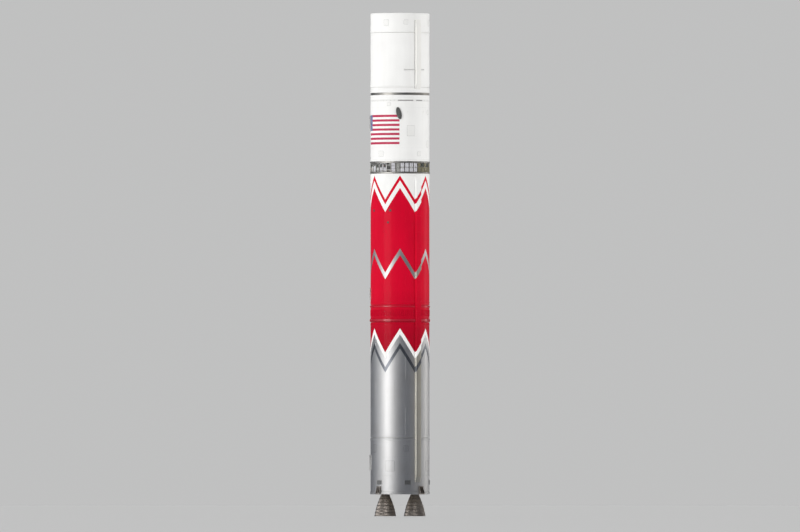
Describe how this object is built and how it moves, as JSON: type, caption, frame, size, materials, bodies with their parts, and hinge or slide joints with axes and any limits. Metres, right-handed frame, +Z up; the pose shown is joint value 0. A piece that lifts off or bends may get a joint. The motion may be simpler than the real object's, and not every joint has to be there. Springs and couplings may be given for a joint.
{
  "type": "space rocket without payload fairing, 1:2 scale model",
  "caption": "Tall slender space rocket at half scale: cylindrical booster, hollow interstage and upper stage, gimballed engines, raceways and an open forward end without a payload fairing.",
  "frame": {"origin": "on the rocket's axis in its aft plane, the plane of the hold-down pads, where the launch platform holds it; the engines' nozzles hang below it", "axes": "+Z up along the rocket's axis; the side that the picture shows faces -Y; +X is to the viewer's right, and both engine pairs lie along X"},
  "size_m": [2.795, 2.77, 23.05],
  "materials": {
    "tank_red": "gloss red coating",
    "tank_white": "white coating",
    "skin_white": "satin white",
    "skin_silver": "silver metallic",
    "ring_grey": "grey primed metal and blankets",
    "port_dark": "dark opening",
    "engine_metal": "bare metal",
    "nozzle_carbon": "matt carbon composite",
    "heat_shield_blanket": "woven insulation blanket",
    "primer": "yellow-green primer"
  },
  "bodies": {
    "booster": {"aft_skirt": "skin_silver", "lower_propellant_tank": "tank_red", "intertank": "tank_red", "upper_propellant_tank": "tank_red", "booster_forward_ring": "ring_grey", "interstage": "skin_white", "booster_raceway_front": "tank_red", "booster_raceway_rear": "tank_red", "umbilical_panel_aft": "ring_grey", "umbilical_panel_booster": "ring_grey", "umbilical_panel_interstage": "ring_grey", "interstage_vent_port": "port_dark", "hold_down_fitting_1": "engine_metal", "hold_down_fitting_2": "engine_metal", "hold_down_fitting_3": "engine_metal", "hold_down_fitting_4": "engine_metal", "base_heat_shield": "heat_shield_blanket", "thrust_frame": "engine_metal"},
    "left_booster_gimbal": {"left_booster_gimbal_cross": "engine_metal"},
    "left_booster_engine": {"left_booster_engine_powerhead": "engine_metal", "left_booster_engine_nozzle": "engine_metal", "left_booster_engine_boot": "heat_shield_blanket"},
    "right_booster_gimbal": {"right_booster_gimbal_cross": "engine_metal"},
    "right_booster_engine": {"right_booster_engine_powerhead": "engine_metal", "right_booster_engine_nozzle": "engine_metal", "right_booster_engine_boot": "heat_shield_blanket"},
    "upper_stage": {"stage_separation_ring": "skin_white", "upper_stage_tank": "tank_white", "forward_adapter": "skin_white", "equipment_shelf": "primer", "upper_stage_raceway_front": "skin_white", "upper_stage_raceway_rear": "skin_white", "upper_engine_frame": "engine_metal"},
    "left_upper_gimbal": {"left_upper_gimbal_cross": "engine_metal"},
    "left_upper_engine": {"left_upper_engine_powerhead": "engine_metal", "left_upper_engine_nozzle": "nozzle_carbon"},
    "right_upper_gimbal": {"right_upper_gimbal_cross": "engine_metal"},
    "right_upper_engine": {"right_upper_engine_powerhead": "engine_metal", "right_upper_engine_nozzle": "nozzle_carbon"}
  },
  "joints": [
    {"name": "stage_separation", "type": "slide", "parent": "booster", "child": "upper_stage", "axis": [0, 0, 1], "range_m": [0, 2.4]},
    {"name": "left_booster_engine_pitch", "type": "hinge", "parent": "booster", "child": "left_booster_gimbal", "pos_m": [-0.675, 0, 1.2], "axis": [1, 0, 0], "range_deg": [-4, 4]},
    {"name": "left_booster_engine_yaw", "type": "hinge", "parent": "left_booster_gimbal", "child": "left_booster_engine", "pos_m": [-0.675, 0, 1.2], "axis": [0, 1, 0], "range_deg": [-4, 4]},
    {"name": "right_booster_engine_pitch", "type": "hinge", "parent": "booster", "child": "right_booster_gimbal", "pos_m": [0.675, 0, 1.2], "axis": [1, 0, 0], "range_deg": [-4, 4]},
    {"name": "right_booster_engine_yaw", "type": "hinge", "parent": "right_booster_gimbal", "child": "right_booster_engine", "pos_m": [0.675, 0, 1.2], "axis": [0, 1, 0], "range_deg": [-4, 4]},
    {"name": "left_upper_engine_pitch", "type": "hinge", "parent": "upper_stage", "child": "left_upper_gimbal", "pos_m": [-0.5, 0, 17.5], "axis": [1, 0, 0], "range_deg": [-4, 4]},
    {"name": "left_upper_engine_yaw", "type": "hinge", "parent": "left_upper_gimbal", "child": "left_upper_engine", "pos_m": [-0.5, 0, 17.5], "axis": [0, 1, 0], "range_deg": [-4, 4]},
    {"name": "right_upper_engine_pitch", "type": "hinge", "parent": "upper_stage", "child": "right_upper_gimbal", "pos_m": [0.5, 0, 17.5], "axis": [1, 0, 0], "range_deg": [-4, 4]},
    {"name": "right_upper_engine_yaw", "type": "hinge", "parent": "right_upper_gimbal", "child": "right_upper_engine", "pos_m": [0.5, 0, 17.5], "axis": [0, 1, 0], "range_deg": [-4, 4]}
  ]
}
